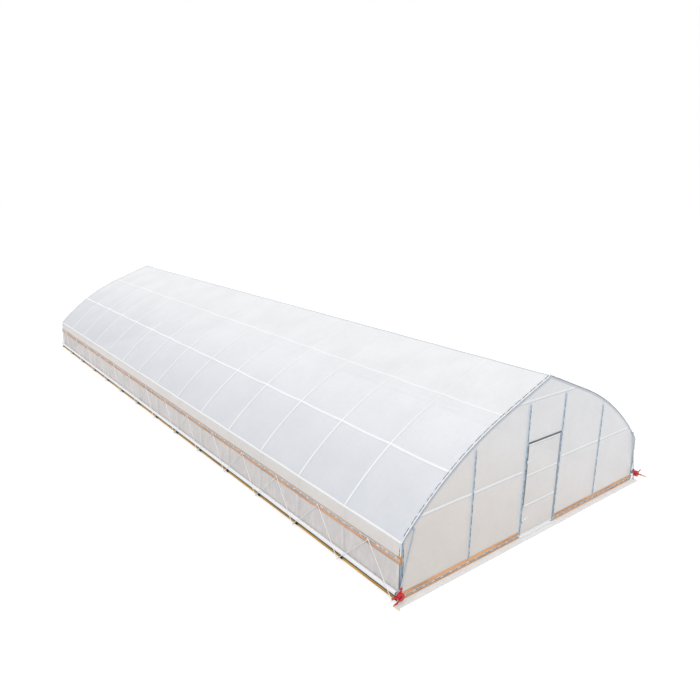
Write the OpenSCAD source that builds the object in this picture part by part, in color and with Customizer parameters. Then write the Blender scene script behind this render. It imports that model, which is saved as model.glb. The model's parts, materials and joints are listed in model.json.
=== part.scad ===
// Film tunnel greenhouse: bent steel hoops on straight legs, purlins, framed ends with a
// hinged door, film held in lock channels, and side curtains rolled up by hand winders.
// X runs across the tunnel, Y along it with the door end at -Y, Z up from the ground.

/* [Tunnel] */
// Distance across the tunnel between the leg centres
span = 6096; // [5700:6:6600]
// Number of bays along the tunnel
bays = 14; // [6:1:16]
// Distance along the tunnel between hoop centres
bay = 1219; // [1000:1:1400]
// Height of the eave bend on the tube's centre line
eave_h = 870; // [830:5:950]
// Height of the ridge on the tube's centre line
ridge_h = 2640; // [2560:5:2750]
// Pitch of the straight top of each bow, in degrees
ridge_pitch = 21.5; // [19:0.5:24]
// Radius of the curved part of each bow on its centre line
bow_r = 5330; // [5000:10:5700]

/* [Tubes] */
// Diameter of the hoop tube
hoop_d = 42; // [34:1:48]
// Diameter of the purlins
purlin_d = 32; // [25:1:40]
// Diameter of the end wall rails and collars
rail_d = 32; // [25:1:40]
// Wall of the eave elbows and ridge couplers
sleeve_wall = 4; // [2.5:0.5:6]
// Depth of tube inside each elbow or coupler arm
socket_l = 60; // [40:1:90]
// Distance from a bend to the end of the tube in its socket
core_l = 34; // [30:1:45]
// Distance from the ridge to the upper purlins
upper_purlin_x = 1090; // [1000:5:1300]
// Distance from the ridge to the mid purlins
mid_purlin_x = 2190; // [2000:5:2400]

/* [End walls] */
// Distance from the centre to each door post
door_post_x = 460; // [420:5:520]
// Distance from the centre to each outer post
outer_post_x = 1690; // [1500:5:1900]
// Width of the posts
post_w = 40; // [36:1:50]
// Height of the mid rails
mid_rail_h = 1180; // [1080:5:1300]
// Distance from the ridge down to the collars that tie the bows
collar_drop = 295; // [250:5:340]
// Height of the end base boards
end_board_h = 120; // [90:5:160]
// Thickness of the end base boards
end_board_t = 38; // [25:1:45]
// Width of the film flap that lies on the ground at the door end
skirt_w = 120; // [60:5:200]
// Length of the film flap beyond each corner leg
skirt_end = 130; // [40:5:180]

/* [Door] */
// Height of the door leaf's top above the ground
door_top = 1620; // [1500:5:1750]
// Gap under the door leaf
door_floor_gap = 30; // [20:1:60]
// Running gap round the door leaf
door_gap = 5; // [5:0.5:8]
// Width of the door frame's square tube
door_tube = 30; // [25:1:36]
// Height of the lower door rail
door_rail_low = 540; // [400:5:700]
// Height of the upper door rail
door_rail_high = 1070; // [900:5:1250]
// Height of the header tube over the door
header_h = 40; // [30:1:60]
// Diameter of the hinge pins
hinge_pin_d = 10; // [8:0.5:14]
// Outside diameter of the hinge barrels
hinge_barrel_d = 20; // [18:0.5:24]
// Length of each half of a hinge barrel
hinge_barrel_l = 30; // [20:1:45]
// Height of the lower hinge above the ground
hinge_low = 300; // [150:5:450]
// Height of the upper hinge above the ground
hinge_high = 1320; // [1150:5:1420]
// Length of the hinge straps on the door leaf
strap_l = 160; // [100:5:300]
// Thickness of the hinge straps
strap_t = 4; // [3:0.5:6]

/* [Sides] */
// Height of the side base boards
side_board_h = 95; // [70:5:110]
// Thickness of the side boards
side_board_t = 30; // [22:1:40]
// Height of the hip boards' lower edge
hip_z = 565; // [520:5:620]
// Width of the hip boards
hip_h = 115; // [90:5:130]
// Distance from the hip boards' top edge down to the hip channels' centre line
hip_channel_drop = 35; // [20:1:50]
// Diameter of the rolled curtain
roll_d = 70; // [50:1:80]
// Height of the roll's axis
roll_z = 150; // [145:1:200]
// Diameter of the tube inside the roll
roll_tube_d = 27; // [20:1:34]
// Diameter of the curtain ropes
rope_d = 6; // [4:0.5:9]
// Height of the ropes' lower bends
rope_foot_z = 50; // [40:1:60]
// Diameter of the pegs that hold the ropes' lower bends
peg_d = 10; // [8:0.5:14]

/* [Film and channels] */
// Thickness of the film sheets
film_t = 3; // [2:0.5:4]
// Width of the lock channels
channel_w = 26; // [22:1:28]
// Depth of the lock channels
channel_d = 10; // [8:0.5:14]
// Wall of the lock channels
channel_t = 2; // [1.5:0.25:2.5]
// Mouth of the lock channels
channel_mouth = 14; // [10:1:16]
// Gap over the post channels' tops, below the collar or the bow
channel_stop = 60; // [40:5:120]

/* [Winders] */
// Diameter of the winder housings
housing_d = 110; // [90:1:130]
// Depth of the winder housings
housing_l = 56; // [40:1:80]
// Distance from the front hoop to the back of the winder housings
housing_y = 80; // [76:1:120]
// Diameter of the winder shafts
shaft_d = 16; // [12:0.5:20]
// Length of the crank arms
crank_l = 150; // [120:1:160]
// Angle of the resting crank arms below level, in degrees
crank_rest = 22; // [0:1:30]
// Width of the crank arms
crank_w = 26; // [20:1:34]
// Thickness of the crank arms
crank_t = 10; // [8:0.5:14]
// Diameter of the crank bosses
crank_boss_d = 44; // [36:1:56]
// Diameter of the crank arms' ends under the grips
crank_eye_d = 32; // [28:0.5:38]
// Diameter of the crank grips
grip_d = 30; // [24:1:36]
// Length of the crank grips
grip_l = 100; // [80:1:120]
// Diameter of the guide poles
pole_d = 20; // [16:0.5:22]
// Distance in front of the front hoop of the guide poles
pole_y = 60; // [58:1:62]
// Height of the guide poles' clamps on the front bows
pole_top_h = 1040; // [1000:5:1150]
// Diameter of the guide poles' clamps
pole_clamp_d = 30; // [26:1:40]
// Reach of the winders' forks up the guide poles
fork_l = 90; // [75:1:110]
// Height of the winders' fork prongs
prong_h = 24; // [16:1:40]
// Thickness of the winders' forks
fork_t = 6; // [4:0.5:8]

/* [Fits] */
// Clearance between seated pieces
fit = 0.3; // [0.2:0.05:0.5]
// Radial clearance of the hinge pins and winder shafts
pin_fit = 0.05; // [0.02:0.01:0.1]

/* [Hidden] */
$fn = 64;
bow_facets = 256;
eps = 1;
set_back = 2;
half = span / 2;
length = bays * bay;
tall = 2 * ridge_h;
collar_h = ridge_h - collar_drop;

// Bow: straight from the ridge to the tangent point, then an arc down to the eave
slope_dir = [cos(ridge_pitch), sin(ridge_pitch)];
slope_in = [sin(ridge_pitch), -cos(ridge_pitch)];
ridge_pt = [0, ridge_h];
eave_pt = [-half, eave_h];
eave_from_ridge = eave_pt - ridge_pt - bow_r * slope_in;
along = eave_from_ridge * slope_dir;
straight_l = -along - sqrt(along * along - eave_from_ridge * eave_from_ridge + bow_r * bow_r);
tangent_pt = ridge_pt - straight_l * slope_dir;
bow_c = tangent_pt + bow_r * slope_in;
eave_slope = acos((eave_h - bow_c.y) / bow_r);
arc_deg = 180 / PI / bow_r;

function bow_slope(x) = x > -tangent_pt.x ? asin((x + bow_c.x) / bow_r) : ridge_pitch;
function bow_z(x) = x > -tangent_pt.x
    ? bow_c.y + bow_r * cos(bow_slope(x))
    : ridge_h - x * tan(ridge_pitch);
function bow_x(z) = sqrt(bow_r * bow_r - pow(z - bow_c.y, 2)) - bow_c.x;

// Sleeves carry the film, so the film stands off the tube by the sleeve's wall
sleeve_d = hoop_d + 2 * (fit + sleeve_wall);
core_d = sleeve_d - sleeve_wall / 2;
bow_sleeve_d = sleeve_d - sleeve_wall / 4;
film_in = sleeve_d / 2 + fit;
film_out = film_in + film_t;
purlin_drop = (hoop_d + purlin_d) / 2 + fit;
ridge_drop = (sleeve_d / 2 + purlin_d / 2 + fit) / cos(ridge_pitch);
eave_purlin_x = half - film_in - purlin_d / 2;
eave_purlin_z = eave_h - purlin_d;

// End walls, measured from the end hoop's plane and positive outwards
face_y = sleeve_d / 2;
end_film_y = face_y + fit;
end_channel_y = end_film_y + film_t + fit;
rail_in = hoop_d / 2 + fit + rail_d / 2;
rail_end = bow_x(mid_rail_h);
post_depth = face_y + hoop_d / 2;
door_post_in = door_post_x - post_w / 2;
film_edge = door_post_x + post_w / 2 - channel_w - set_back;
base_channel_z = end_board_h / 2;

// Door leaf and hinges
leaf_w = 2 * (door_post_in - door_gap);
leaf_left = -leaf_w / 2;
hinge_x = -door_post_in + door_gap / 2;
hinge_out = face_y + hinge_barrel_d / 2 + strap_t + door_gap;

// Sides
board_x = half + hoop_d / 2 + fit;
board_face = board_x + side_board_t;
curtain_x = board_face + fit;
curtain_face = curtain_x + film_t;
hip_lock_z = hip_z + hip_h - hip_channel_drop;
roll_x = curtain_face + fit + roll_d / 2;
rope_top_x = curtain_face + fit + channel_d + fit + rope_d / 2;
rope_rise = (hip_lock_z - roll_z) / (hip_lock_z - rope_foot_z);
rope_foot_x = rope_top_x + (roll_x + roll_d / 2 + rope_d - rope_top_x) / rope_rise;

// Winders, in front of the front hoop
housing_front = housing_y + housing_l;
crank_back = housing_front + 2 * fit;
crank_front = crank_back + crank_t + set_back;
arm_back = crank_front - crank_t;
grip_front = crank_front + fit + grip_l;
pole_top_x = bow_x(pole_top_h);
pole_pass_x = roll_x - roll_tube_d / 2 - pole_d / 2 - set_back;
pole_lean = (pole_pass_x - pole_top_x) / (pole_top_h - roll_z);
pole_foot_x = pole_top_x + pole_lean * pole_top_h;

// The whole stands centred on the origin along Y
front_reach = grip_front;
back_reach = end_channel_y + channel_d;
front_y = front_reach - (front_reach + length + back_reach) / 2;

steel = [0.66, 0.69, 0.72];
zinc = [0.62, 0.68, 0.74];
film = [0.90, 0.92, 0.94];
timber = [0.82, 0.56, 0.27];
red = [0.76, 0.10, 0.14];
cream = [0.90, 0.86, 0.74];
white = [0.95, 0.95, 0.95];

// Shared shapes

// Places the tunnel, drawn from its front hoop's plane, in the object's frame
module in_frame() {
    translate([0, front_y, 0]) children();
}

// Draws a left-hand piece as itself or as its mirror image on the right
module on_side(side) {
    if (side < 0) children();
    else mirror([1, 0, 0]) children();
}

// Draws a left-hand piece on both sides
module on_both_sides() {
    for (side = [-1, 1]) on_side(side) children();
}

// Puts a copy at each hoop
module at_hoops() {
    for (i = [0 : bays]) translate([0, i * bay, 0]) children();
}

// Round bar between two points
module bar(from, to, d) {
    run = to - from;
    translate(from)
        rotate([0, acos(run.z / norm(run)), atan2(run.y, run.x)])
            cylinder(h = norm(run), d = d);
}

// Round bar along Y
module bar_y(x, z, y0, y1, d) {
    translate([x, y0, z]) rotate([-90, 0, 0]) cylinder(h = y1 - y0, d = d);
}

// Upright slab: a shape drawn in X and Z, from y0 to y1
module slab(y0, y1) {
    translate([0, y1, 0]) rotate([90, 0, 0]) linear_extrude(y1 - y0) children();
}

// Round bar of the left bow's arc, between two angles of slope
module bow_arc(d, slope_top, slope_low) {
    translate([bow_c.x, 0, bow_c.y]) rotate([90, 0, 0]) rotate([0, 0, 90 + slope_top])
        rotate_extrude(angle = slope_low - slope_top) translate([bow_r, 0]) circle(d = d);
}

// Round bar of the left bow's straight top, between two distances from the ridge
module bow_top(d, from_l, to_l) {
    from = ridge_pt - from_l * slope_dir;
    to = ridge_pt - to_l * slope_dir;
    bar([from.x, 0, from.y], [to.x, 0, to.y], d);
}

// Everything under the left bow's centre line moved out by grow, from the ground up
module under_left_bow(grow) {
    top = ridge_h + grow / cos(ridge_pitch);
    knee = tangent_pt - grow * slope_in;
    intersection() {
        translate(bow_c) circle(r = bow_r + grow, $fn = bow_facets);
        translate([-half - grow, 0]) square([half + grow, tall]);
    }
    polygon([[knee.x, 0], [0, 0], [0, top], knee]);
}

// Everything under both bows moved out by grow
module under_bows(grow) {
    under_left_bow(grow);
    mirror([1, 0]) under_left_bow(grow);
}

// Lock channel's section: back on the Y axis of the drawing, mouth towards +X
module channel_section() {
    difference() {
        translate([0, -channel_w / 2]) square([channel_d, channel_w]);
        translate([channel_t, channel_t - channel_w / 2])
            square([channel_d - 2 * channel_t, channel_w - 2 * channel_t]);
        translate([channel_d - 2 * channel_t, -channel_mouth / 2])
            square([3 * channel_t, channel_mouth]);
    }
}

// Upright lock channel on an end wall, mouth towards -Y
module channel_upright(x, z0, z1, y) {
    translate([x, y, z0]) rotate([0, 0, -90]) linear_extrude(z1 - z0) channel_section();
}

// Level lock channel on an end wall, mouth towards -Y
module channel_level(x0, x1, z, y) {
    translate([x0, y, z]) rotate([0, 90, 0]) rotate([0, 0, -90])
        linear_extrude(x1 - x0) channel_section();
}

// Hoops

module legs() {
    color(steel) in_frame() on_both_sides() at_hoops()
        translate([-half, 0, 0]) cylinder(h = eave_h - core_l - fit, d = hoop_d);
}

module bows() {
    color(steel) in_frame() on_both_sides() at_hoops() {
        bow_arc(hoop_d, ridge_pitch, eave_slope - (core_l + fit) * arc_deg);
        bow_top(hoop_d, core_l + fit, straight_l - fit);
    }
}

// Round core where the two arms of an elbow or coupler meet
module bend_core(x, z) {
    bar_y(x, z, -core_d / 2, core_d / 2, core_d);
}

// Elbow with one socket for the leg and one for the bow
module elbow() {
    bore = hoop_d + 2 * fit;
    difference() {
        union() {
            translate([-half, 0, eave_h - core_l - socket_l])
                cylinder(h = core_l + socket_l, d = sleeve_d);
            bend_core(-half, eave_h);
            bow_arc(bow_sleeve_d, eave_slope - (core_l + socket_l) * arc_deg, eave_slope);
        }
        translate([-half, 0, eave_h - core_l - socket_l - eps])
            cylinder(h = socket_l + eps, d = bore);
        bow_arc(bore, eave_slope - (core_l + socket_l + eps) * arc_deg,
            eave_slope - core_l * arc_deg);
    }
}

module elbows() {
    color(zinc) in_frame() on_both_sides() at_hoops() elbow();
}

// Coupler at the ridge with a socket for each bow
module ridge_couplers() {
    bore = hoop_d + 2 * fit;
    color(zinc) in_frame() at_hoops() difference() {
        union() {
            on_both_sides() bow_top(sleeve_d, 0, core_l + socket_l);
            bend_core(0, ridge_h);
        }
        on_both_sides() bow_top(bore, core_l, core_l + socket_l + eps);
    }
}

// Purlins, inside the hoops

module purlin(x, z) {
    bar_y(x, z, -hoop_d / 2, length + hoop_d / 2, purlin_d);
}

module ridge_purlin() {
    color(steel) in_frame() purlin(0, ridge_h - ridge_drop);
}

module bow_purlins(x) {
    color(steel) in_frame() on_both_sides()
        purlin(-x + purlin_drop * sin(bow_slope(x)), bow_z(x) - purlin_drop * cos(bow_slope(x)));
}

module eave_purlins() {
    color(steel) in_frame() on_both_sides()
        purlin(-eave_purlin_x, eave_purlin_z);
}

// End wall framing, drawn at the front and turned about for the back

module at_end(front) {
    in_frame() {
        if (front) children();
        else translate([0, length, 0]) mirror([0, 1, 0]) children();
    }
}

module collars() {
    color(steel) for (front = [true, false]) at_end(front) intersection() {
        bar([-half, 0, collar_h], [half, 0, collar_h], rail_d);
        slab(-rail_d, rail_d) under_bows(-hoop_d / 2 - fit);
    }
}

module door_posts() {
    for (x = [-door_post_x, door_post_x])
        translate([x - post_w / 2, -face_y, 0])
            cube([post_w, post_depth, collar_h - rail_d / 2 - fit]);
}

module outer_posts() {
    intersection() {
        for (x = [-outer_post_x, outer_post_x])
            translate([x - post_w / 2, -face_y, end_board_h + fit])
                cube([post_w, post_depth, ridge_h]);
        slab(-face_y, hoop_d) under_bows(-hoop_d / 2 - fit);
    }
}

module front_door_posts() {
    color(zinc) at_end(true) door_posts();
}

module front_outer_posts() {
    color(zinc) at_end(true) outer_posts();
}

module back_posts() {
    color(zinc) at_end(false) {
        intersection() {
            for (x = [-door_post_x, door_post_x])
                translate([x - post_w / 2, -face_y, end_board_h + fit])
                    cube([post_w, post_depth, collar_h - rail_d / 2 - end_board_h - 2 * fit]);
            slab(-face_y, hoop_d) under_bows(-hoop_d / 2 - fit);
        }
        outer_posts();
    }
}

module rail(x0, x1) {
    bar([x0, rail_in, mid_rail_h], [x1, rail_in, mid_rail_h], rail_d);
}

module front_mid_rails() {
    color(steel) at_end(true) on_both_sides() rail(-rail_end, -door_post_in - set_back);
}

module back_mid_rail() {
    color(steel) at_end(false) rail(-rail_end, rail_end);
}

module door_header() {
    color(zinc) at_end(true)
        translate([-door_post_in + fit, -face_y, door_top + door_gap])
            cube([2 * (door_post_in - fit), post_depth, header_h]);
}

// Timber boards

module end_board(x0, x1) {
    translate([x0, -face_y, 0]) cube([x1 - x0, end_board_t, end_board_h]);
}

module front_base_boards() {
    color(timber) at_end(true) on_both_sides()
        end_board(-half + hoop_d / 2 + fit, -door_post_x - post_w / 2 - fit);
}

module back_base_board() {
    color(timber) at_end(false) end_board(-half + hoop_d / 2 + fit, half - hoop_d / 2 - fit);
}

module side_boards(z, h) {
    color(timber) in_frame() on_both_sides() translate([-board_face, -face_y, z])
        cube([side_board_t, length + 2 * face_y, h]);
}

// Film

// Film over one side of the roof, from the ridge over the eave down to the hip board
module roof_film(side) {
    color(film) in_frame() on_side(side)
        slab(-end_film_y - film_t, length + end_film_y + film_t) difference() {
            under_left_bow(film_out);
            under_left_bow(film_in);
            translate([-half - film_out - eps, -eps])
                square([2 * film_out, hip_z + hip_h + fit + eps]);
            translate([-fit / 2, 0]) square([fit, tall]);
        }
}

module curtains() {
    color(film) in_frame() on_both_sides() translate([-curtain_face, -face_y, roll_z])
        cube([film_t, length + 2 * face_y, hip_lock_z + channel_w / 2 - roll_z]);
}

module curtain_rolls() {
    color(white) in_frame() on_both_sides() {
        bar_y(-roll_x, roll_z, -face_y, length + face_y, roll_d);
        bar_y(-roll_x, roll_z, -housing_y + fit, 0, roll_tube_d);
    }
}

// End film between two distances from the centre, from z0 up to the bows' centre line
module end_film(x0, x1, z0) {
    slab(-end_film_y - film_t, -end_film_y) intersection() {
        under_bows(0);
        translate([x0, z0]) square([x1 - x0, tall]);
    }
}

module front_film(side) {
    color(film) at_end(true) on_side(side) end_film(-half, -film_edge, film_t + fit);
}

module front_film_top() {
    color(film) at_end(true)
        end_film(-film_edge + fit, film_edge - fit, door_top + door_gap + header_h / 2);
}

module back_film() {
    color(film) at_end(false) end_film(-half, half, 0);
}

module front_skirt() {
    color(film) at_end(true) translate([-half - skirt_end, -end_film_y - skirt_w, 0])
        cube([2 * (half + skirt_end), skirt_w, film_t]);
}

// Lock channels

module hip_channels() {
    color(zinc) in_frame() on_both_sides()
        translate([-curtain_face - fit, -face_y, hip_lock_z]) rotate([-90, 180, 0])
            linear_extrude(length + 2 * face_y) channel_section();
}

// Channels on the door posts, outer posts and corner legs of one end
module post_channels(door_x) {
    outer_top = bow_z(outer_post_x + post_w) - channel_stop;
    for (post = [[door_x, collar_h - channel_stop], [outer_post_x, outer_top], [half, eave_h]])
        on_both_sides() channel_upright(-post[0], end_board_h + fit, post[1], -end_channel_y);
}

module front_channels() {
    color(zinc) at_end(true) {
        post_channels(film_edge + channel_w / 2);
        on_both_sides()
            channel_level(-half, -film_edge - fit, base_channel_z, -end_channel_y);
    }
}

module back_channels() {
    color(zinc) at_end(false) {
        post_channels(door_post_x);
        channel_level(-half, half, base_channel_z, -end_channel_y);
    }
}

// Channels along one end hoop, on the roof film: straight top, arc and eave strip
module hoop_channel() {
    seat = film_out + fit;
    knee = tangent_pt - seat * slope_in;
    peak = [0, ridge_h + seat / cos(ridge_pitch)];
    top_l = norm(knee - peak) - fit - channel_d;
    translate([bow_c.x, 0, bow_c.y]) rotate([90, 0, 0])
        rotate([0, 0, 90 + ridge_pitch])
            rotate_extrude(angle = eave_slope - ridge_pitch)
                translate([bow_r + seat, 0]) channel_section();
    translate([knee.x, 0, knee.y]) rotate([0, -ridge_pitch, 0])
        translate([fit, 0, 0]) rotate([0, 90, 0]) rotate([0, 0, 180])
            linear_extrude(top_l - fit) channel_section();
    translate([-half - seat, 0, hip_z + hip_h + fit]) rotate([0, 0, 180])
        linear_extrude(eave_h - hip_z - hip_h - 2 * fit) channel_section();
}

module hoop_channels() {
    color(zinc) in_frame() for (y = [0, length])
        on_both_sides() translate([0, y, 0]) hoop_channel();
}

// Curtain ropes: one V in each bay from the hip board down to pegs at the hoops

// The runs stop just short of each bend, where the knots are
module curtain_ropes() {
    color(white) in_frame() on_both_sides() for (i = [0 : bays - 1], j = [0, 1]) {
        top = [-rope_top_x, (i + 0.5) * bay, hip_lock_z];
        foot = [-rope_foot_x, (i + j) * bay, rope_foot_z];
        short = rope_d * (top - foot) / norm(top - foot);
        bar(foot + short, top - short, rope_d);
    }
}

module rope_pegs() {
    color(zinc) in_frame() on_both_sides() at_hoops()
        bar([-board_face - fit, 0, rope_foot_z],
            [-rope_foot_x + rope_d / 2 + fit, 0, rope_foot_z], peg_d);
}

// Winders

// Plate on the back of a housing with two prongs that run on the guide pole
module fork() {
    prong_x = pole_d / 2 + fit;
    fork_foot = roll_tube_d / 2 + set_back;
    translate([-pole_pass_x, -housing_y - eps, roll_z]) rotate([0, atan(pole_lean), 0]) {
        translate([-prong_x - fork_t, 0, fork_foot])
            cube([2 * (prong_x + fork_t), fork_t + eps, fork_l - fork_foot]);
        for (x = [-prong_x - fork_t, prong_x])
            translate([x, 0, fork_l - prong_h])
                cube([fork_t, housing_y + eps - pole_y + pole_d / 2, prong_h]);
    }
}

module winder_housings() {
    color(red) in_frame() on_both_sides() {
        fork();
        bar_y(-roll_x, roll_z, -housing_front, -housing_y, housing_d);
        bar_y(-roll_x, roll_z, -crank_front, -housing_front, shaft_d);
    }
}

// Places a left crank's piece, drawn from the shaft with the arm towards -X
module on_crank(side) {
    in_frame() on_side(side)
        translate([-roll_x, 0, roll_z]) rotate([0, -crank_rest, 0]) children();
}

// Arm with its boss on the shaft, pointing away from the tunnel and down
module crank(side) {
    color(red) on_crank(side) difference() {
        union() {
            bar_y(0, 0, -crank_front, -crank_back, crank_boss_d);
            translate([-crank_l, -crank_front, -crank_w / 2]) cube([crank_l, crank_t, crank_w]);
            bar_y(-crank_l, 0, -crank_front, -arm_back, crank_eye_d);
        }
        bar_y(0, 0, -crank_front - eps, -crank_back + eps, shaft_d + 2 * pin_fit);
    }
}

module grip(side) {
    color(cream) on_crank(side) bar_y(-crank_l, 0, -grip_front, -crank_front - fit, grip_d);
}

module guide_poles() {
    color(steel) in_frame() on_both_sides() {
        intersection() {
            bar([-pole_foot_x - pole_lean * pole_d, -pole_y, -pole_d],
                [-pole_top_x, -pole_y, pole_top_h], pole_d);
            translate([-2 * half, -2 * pole_y, film_t + fit]) cube([2 * half, 2 * pole_y, tall]);
        }
        bar_y(-pole_top_x, pole_top_h, -pole_y - pole_d / 2, -end_channel_y, pole_clamp_d);
    }
}

// Door

module door_frame() {
    low = door_floor_gap;
    color(zinc) at_end(true) translate([leaf_left, -face_y, 0]) {
        for (x = [0, leaf_w - door_tube])
            translate([x, 0, low]) cube([door_tube, door_tube, door_top - low]);
        for (z = [low, door_rail_low, door_rail_high, door_top - door_tube])
            translate([0, 0, z]) cube([leaf_w, door_tube, door_tube]);
    }
}

module door_film() {
    color(film) at_end(true)
        translate([leaf_left + strap_t, -end_film_y - film_t, door_floor_gap])
            cube([leaf_w - 2 * strap_t, film_t, door_top - door_floor_gap]);
}

// Hinge barrel on the pin's line
module hinge_barrel(z, h, d) {
    translate([hinge_x, -hinge_out, z]) cylinder(h = h, d = d);
}

// Pin, barrel and bracket on the left door post
module pintle(z) {
    web_x = -door_post_in - hinge_barrel_d / 2;
    hinge_barrel(z - hinge_barrel_l, hinge_barrel_l, hinge_barrel_d);
    hinge_barrel(z - eps, hinge_barrel_l + eps, hinge_pin_d);
    translate([web_x, -hinge_out, z - hinge_barrel_l])
        cube([hinge_barrel_d / 2, hinge_out - face_y - fit, hinge_barrel_l]);
}

module door_pintles() {
    color(zinc) at_end(true) for (z = [hinge_low, hinge_high]) pintle(z);
}

// Strap on the door leaf with the eye that turns on the pin
module strap(z) {
    strap_y = end_film_y + film_t + fit;
    foot = z + fit;
    difference() {
        union() {
            hinge_barrel(foot, hinge_barrel_l, hinge_barrel_d);
            translate([hinge_x, -hinge_out, foot])
                cube([hinge_barrel_d / 2, hinge_out - strap_y, hinge_barrel_l]);
            translate([hinge_x, -strap_y - strap_t, foot])
                cube([strap_l, strap_t, hinge_barrel_l]);
        }
        hinge_barrel(foot - eps, hinge_barrel_l + 2 * eps, hinge_pin_d + 2 * pin_fit);
    }
}

module door_straps() {
    color(zinc) at_end(true) for (z = [hinge_low, hinge_high]) strap(z);
}

// One line for each piece

legs();
bows();
elbows();
ridge_couplers();
ridge_purlin();
bow_purlins(upper_purlin_x);  // upper_purlins
bow_purlins(mid_purlin_x);  // mid_purlins
eave_purlins();
collars();
front_door_posts();
front_outer_posts();
back_posts();
front_mid_rails();
back_mid_rail();
door_header();
side_boards(0, side_board_h);  // side_base_boards
front_base_boards();
back_base_board();
side_boards(hip_z, hip_h);  // hip_boards
hip_channels();
front_channels();
back_channels();
hoop_channels();
roof_film(-1);  // roof_film_left
roof_film(1);  // roof_film_right
curtains();
curtain_rolls();
curtain_ropes();
rope_pegs();
front_film(-1);  // front_film_left
front_film(1);  // front_film_right
front_film_top();
back_film();
front_skirt();
winder_housings();
guide_poles();
crank(-1);  // left_crank
crank(1);  // right_crank
grip(-1);  // left_grip
grip(1);  // right_grip
door_frame();
door_film();
door_straps();
door_pintles();
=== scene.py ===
# Film tunnel greenhouse: sheets, ropes, lock wires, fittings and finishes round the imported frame.
import json
import math
import random

import bpy
from bpy.props import FloatProperty, FloatVectorProperty, IntProperty, PointerProperty
from mathutils import Matrix, Vector


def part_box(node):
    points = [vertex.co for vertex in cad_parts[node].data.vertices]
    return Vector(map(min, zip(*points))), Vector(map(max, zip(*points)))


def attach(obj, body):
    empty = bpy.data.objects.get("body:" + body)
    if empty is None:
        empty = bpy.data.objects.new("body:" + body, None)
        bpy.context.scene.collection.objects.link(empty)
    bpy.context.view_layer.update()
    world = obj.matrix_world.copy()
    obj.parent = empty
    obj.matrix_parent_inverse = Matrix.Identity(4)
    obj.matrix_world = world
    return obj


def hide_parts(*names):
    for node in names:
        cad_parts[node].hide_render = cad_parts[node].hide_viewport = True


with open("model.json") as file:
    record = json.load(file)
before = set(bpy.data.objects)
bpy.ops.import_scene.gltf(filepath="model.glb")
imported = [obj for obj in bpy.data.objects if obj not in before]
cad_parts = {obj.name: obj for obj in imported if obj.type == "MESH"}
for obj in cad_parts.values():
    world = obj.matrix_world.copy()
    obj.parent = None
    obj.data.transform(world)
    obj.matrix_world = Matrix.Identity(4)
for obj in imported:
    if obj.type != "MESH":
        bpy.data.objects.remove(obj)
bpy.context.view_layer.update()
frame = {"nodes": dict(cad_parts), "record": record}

bl_info = {
    "name": "Film tunnel greenhouse",
    "version": (1, 0, 0),
    "blender": (4, 5, 0),
    "location": "View3D > Sidebar > Tunnel",
    "description": "Dresses a packed tunnel frame with film, ropes, lock wires and finishes",
    "category": "Object",
}

HOOP_R = 0.021
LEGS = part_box("legs")
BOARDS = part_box("side_base_boards")
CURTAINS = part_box("curtains")
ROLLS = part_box("curtain_rolls")
HIP_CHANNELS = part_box("hip_channels")
HIP_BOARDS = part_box("hip_boards")
FRONT_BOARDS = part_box("front_base_boards")
FRONT_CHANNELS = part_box("front_channels")
BACK_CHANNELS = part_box("back_channels")
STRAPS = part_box("door_straps")
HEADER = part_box("door_header")
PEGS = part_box("rope_pegs")
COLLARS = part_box("collars")
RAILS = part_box("front_mid_rails")
DOOR_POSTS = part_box("front_door_posts")
OUTER_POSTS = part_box("front_outer_posts")
SIDES = ((-1, "left"), (1, "right"))
POST_R = 0.02
CHANNEL_SEAT = 0.0289  # from a hoop's centre line to the floor of its channel
DOOR_CHANNEL = 0.465  # from the middle to the channel beside the door
BOARD_WIRE_Z = 0.06
BOARD_WIRE_END = 0.4523
POST_WIRE_FOOT = 0.1203
LOW_RAIL, HIGH_RAIL = 0.555, 1.085  # heights of the door's two inner rails
BOLT_SETBACK = 0.064  # from a fitting's corner to its bolt
LEG_SOCKET, BOW_SOCKET = 0.0252, 0.0246  # how far the bolts' seats stand off the tube's centre
STRAP_FACE = 0.0329  # from the front hoop to the outside of the hinge straps
HOUSING_FRONT, HOUSING_BACK = 0.132, 0.084  # from the front hoop to a winder housing's faces
QUARTER = math.radians(90)


def mid_z(box):
    return (box[0].z + box[1].z) / 2


ROLL_R = (ROLLS[1].z - ROLLS[0].z) / 2
ROLL_X, ROLL_Z = ROLLS[1].x - ROLL_R, mid_z(ROLLS)


def length(name, description, default):
    return FloatProperty(name=name, description=description, default=default, unit="LENGTH")


def colour(name, description, default):
    return FloatVectorProperty(
        name=name, description=description, default=default, subtype="COLOR", size=3,
        min=0.0, max=1.0,
    )


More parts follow.
